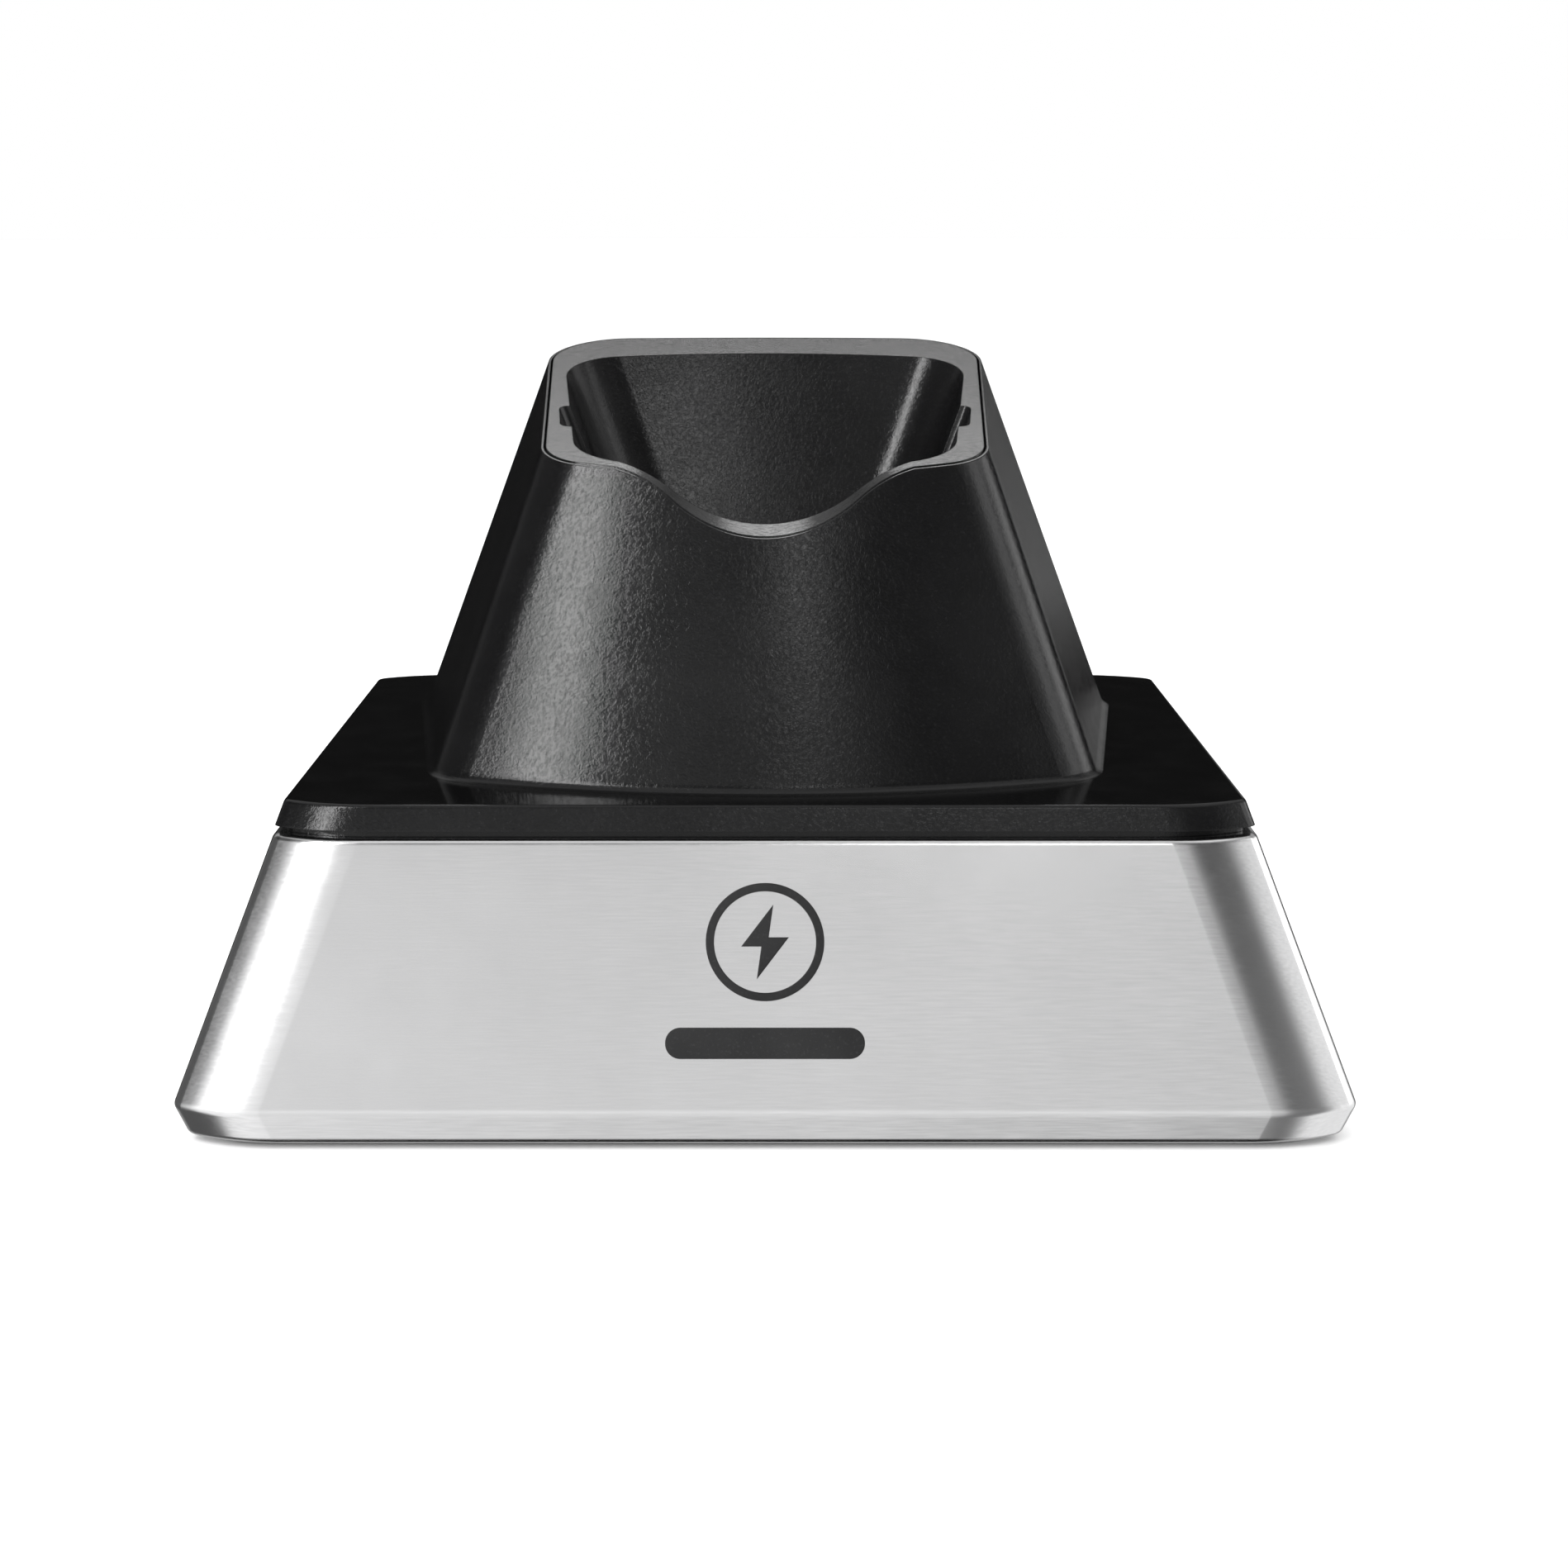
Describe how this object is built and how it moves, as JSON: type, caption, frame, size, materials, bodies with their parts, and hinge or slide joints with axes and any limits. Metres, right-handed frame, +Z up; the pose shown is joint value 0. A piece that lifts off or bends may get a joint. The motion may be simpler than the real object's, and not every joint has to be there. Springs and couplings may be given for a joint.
{
  "type": "hair clipper charging stand",
  "caption": "Desktop charging stand for a hair clipper: silver sloping base, black deck and tapering tower with a scalloped cup that holds sprung charging contacts.",
  "frame": {"origin": "centre of the footprint on the surface that the stand rests on", "axes": "+Z up, -Y towards the front with the badge and the scallop, +X to the viewer's right"},
  "size_m": [0.13, 0.113, 0.084],
  "materials": {
    "silver_shell": "satin silver",
    "black_matte": "moulded, fine texture",
    "black_cover": "moulded, fine grain, satin",
    "black_liner": "moulded, fine grain, satin",
    "foot_rubber": "matte",
    "ballast_steel": "rolled",
    "natural_plastic": "moulded",
    "contact_brass": "turned",
    "contact_plating": "nickel plated",
    "spring_steel": "drawn wire",
    "board_green": "solder mask",
    "black_component": "moulded",
    "component_can": "drawn can",
    "wire_red": "insulation",
    "wire_black": "insulation",
    "screw_steel": "zinc plated",
    "badge_foil": "printed foil"
  },
  "bodies": {
    "root": {"base_shell": "silver_shell", "base_plate": "black_matte", "top_cover": "black_cover", "cup_liner": "black_liner", "foot_front_left": "foot_rubber", "foot_front_right": "foot_rubber", "foot_rear_left": "foot_rubber", "foot_rear_right": "foot_rubber", "ballast_plate": "ballast_steel", "contact_block": "natural_plastic", "contact_sleeve_left": "contact_brass", "contact_sleeve_right": "contact_brass", "contact_spring_left": "spring_steel", "contact_spring_right": "spring_steel", "contact_terminal_left": "contact_brass", "contact_terminal_right": "contact_brass", "circuit_board": "board_green", "dc_jack": "black_component", "jack_center_pin": "contact_plating", "jack_bezel": "black_matte", "capacitor": "component_can", "inductor": "black_component", "controller_chip": "black_component", "wire_header": "natural_plastic", "wire_plug": "natural_plastic", "wire_positive": "wire_red", "wire_negative": "wire_black", "base_screws": "screw_steel", "board_screws": "screw_steel", "ballast_screws": "screw_steel", "contact_block_screws": "screw_steel", "liner_screws": "screw_steel", "front_badge": "badge_foil"},
    "pin_left": {"contact_pin_left": "contact_plating"},
    "pin_right": {"contact_pin_right": "contact_plating"}
  },
  "joints": [
    {"name": "contact_pin_left_press", "type": "slide", "parent": "root", "child": "pin_left", "axis": [0, 0, 1], "range_m": [-0.0015, 0], "stiffness_N_per_m": 200, "springref_m": 0.002, "deforming": ["contact_spring_left"]},
    {"name": "contact_pin_right_press", "type": "slide", "parent": "root", "child": "pin_right", "axis": [0, 0, 1], "range_m": [-0.0015, 0], "stiffness_N_per_m": 200, "springref_m": 0.002, "deforming": ["contact_spring_right"]}
  ]
}
